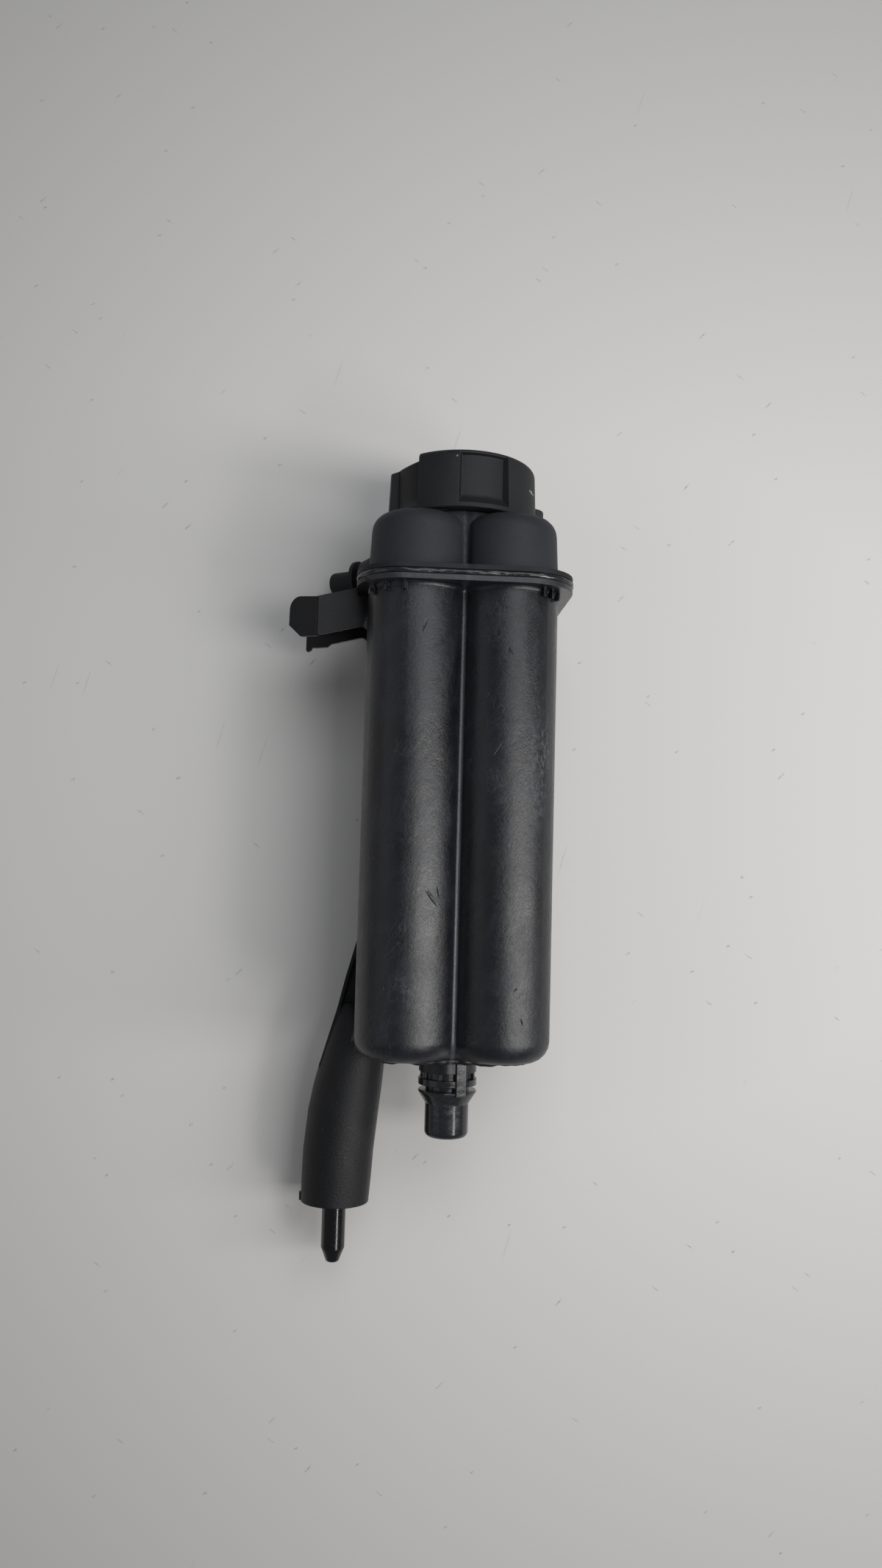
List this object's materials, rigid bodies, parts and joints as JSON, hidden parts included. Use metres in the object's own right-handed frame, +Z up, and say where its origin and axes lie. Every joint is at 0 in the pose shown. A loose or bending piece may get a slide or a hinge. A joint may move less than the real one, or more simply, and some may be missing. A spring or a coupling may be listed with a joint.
{
  "type": "coolant expansion tank",
  "caption": "Upright four-lobed coolant tank with a screw pressure cap, welded flange, ribbed outlet spigot, side arm, and a leg with a locating pin.",
  "frame": {"origin": "on the tank's axis, at the shoulder end of the outlet spigot's straight tube", "axes": "+Z up along the tank's axis, which is also the cap's; +Y to the rear; the arm and the leg are on the -X side"},
  "size_m": [0.1317, 0.098, 0.3829],
  "materials": {
    "shell_lower": "satin black moulded plastic with flow marks and handling scratches",
    "shell_upper": "fine-grained black moulded plastic",
    "cap": "fine-grained black moulded plastic with chipped edges",
    "insert": "plain black moulded plastic",
    "seal": "moulded rubber",
    "spring": "bright drawn spring wire",
    "valve": "plain moulded plastic",
    "bleed": "plain black moulded plastic",
    "float": "natural foamed plastic",
    "magnet": "dark sintered magnet",
    "rod": "natural plastic"
  },
  "bodies": {
    "tank": {"lower_shell": "shell_lower", "upper_shell": "shell_upper", "neck_guide": "insert"},
    "insert": {"valve_insert": "insert", "insert_seal_lower": "seal", "insert_seal_upper": "seal", "spring_cover": "insert", "relief_spring": "spring"},
    "cap": {"cap_grip": "cap"},
    "relief": {"relief_plate": "valve", "relief_seal": "seal", "vacuum_spring": "spring"},
    "vacuum": {"vacuum_valve": "valve", "vacuum_seal": "seal"},
    "bleed_carrier": {"bleed_seal": "seal"},
    "bleed": {"bleed_screw": "bleed"},
    "float": {"level_float": "float", "float_magnet": "magnet", "indicator_rod": "rod"}
  },
  "joints": [
    {"name": "cap_turn", "type": "hinge", "parent": "insert", "child": "cap", "pos_m": [0, 0, 0.28], "axis": [0, 0, 1], "range_deg": [0, 810]},
    {"name": "cap_rise", "type": "slide", "parent": "tank", "child": "insert", "axis": [0, 0, 1], "range_m": [0, 0.009]},
    {"name": "relief_lift", "type": "slide", "parent": "insert", "child": "relief", "axis": [0, 0, 1], "range_m": [0, 0.0025], "stiffness_N_per_m": 2500, "springref_m": -0.012, "deforming": ["relief_spring"]},
    {"name": "vacuum_drop", "type": "slide", "parent": "relief", "child": "vacuum", "axis": [0, 0, -1], "range_m": [0, 0.001], "stiffness_N_per_m": 120, "springref_m": -0.004, "deforming": ["vacuum_spring"]},
    {"name": "bleed_rise", "type": "slide", "parent": "tank", "child": "bleed_carrier", "axis": [0, 0, 1], "range_m": [0, 0.003]},
    {"name": "bleed_turn", "type": "hinge", "parent": "bleed_carrier", "child": "bleed", "pos_m": [0.0365, 0.0236, 0.285], "axis": [0, 0, 1], "range_deg": [0, 720]},
    {"name": "float_rise", "type": "slide", "parent": "tank", "child": "float", "axis": [0, 0, 1], "range_m": [0, 0.034]}
  ],
  "couplings": [
    {"joint": "cap_rise", "follows": "cap_turn", "m_per_rad": 0.00063662},
    {"joint": "bleed_turn", "follows": "bleed_rise", "rad_per_m": 4188.8}
  ]
}
